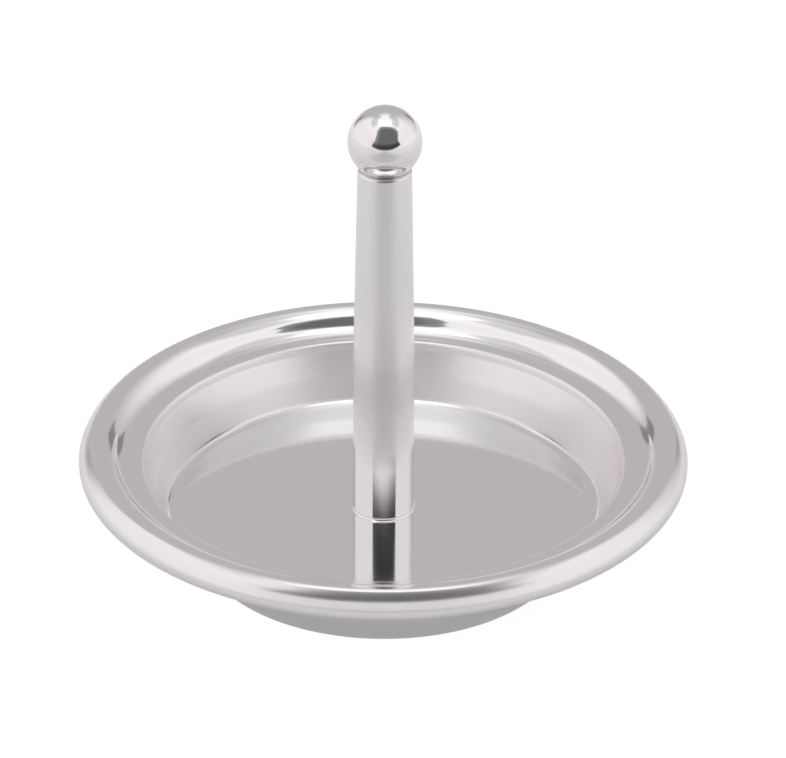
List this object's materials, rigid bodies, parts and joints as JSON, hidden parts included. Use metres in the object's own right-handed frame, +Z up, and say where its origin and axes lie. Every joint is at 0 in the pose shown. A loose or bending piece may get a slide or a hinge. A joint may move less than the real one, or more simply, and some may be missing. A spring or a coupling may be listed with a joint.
{
  "type": "ring dish",
  "caption": "Round polished metal ring dish with a stepped rim and a low foot ring; a slightly tapered post topped by a ball stands in the middle to hold finger rings.",
  "frame": {"origin": "centre of the foot ring's lower face, on the dish's axis", "axes": "+Z up along the post and the dish's axis; the dish is round, so +X and +Y are any two directions across it, with the picture taken from -Y"},
  "size_m": [0.1, 0.1, 0.0806],
  "materials": {
    "dish_plate": "mirror-polished silver-coloured plate",
    "foot_plate": "polished silver-coloured plate",
    "post_plate": "polished silver-coloured plate",
    "ball_plate": "mirror-polished silver-coloured plate",
    "fastener_steel": "plain zinc-plated steel"
  },
  "bodies": {
    "root": {"dish": "dish_plate", "foot_ring": "foot_plate", "ring_post": "post_plate", "ball_finial": "ball_plate", "finial_stud": "fastener_steel", "post_screw": "fastener_steel", "washer": "fastener_steel"}
  },
  "joints": []
}
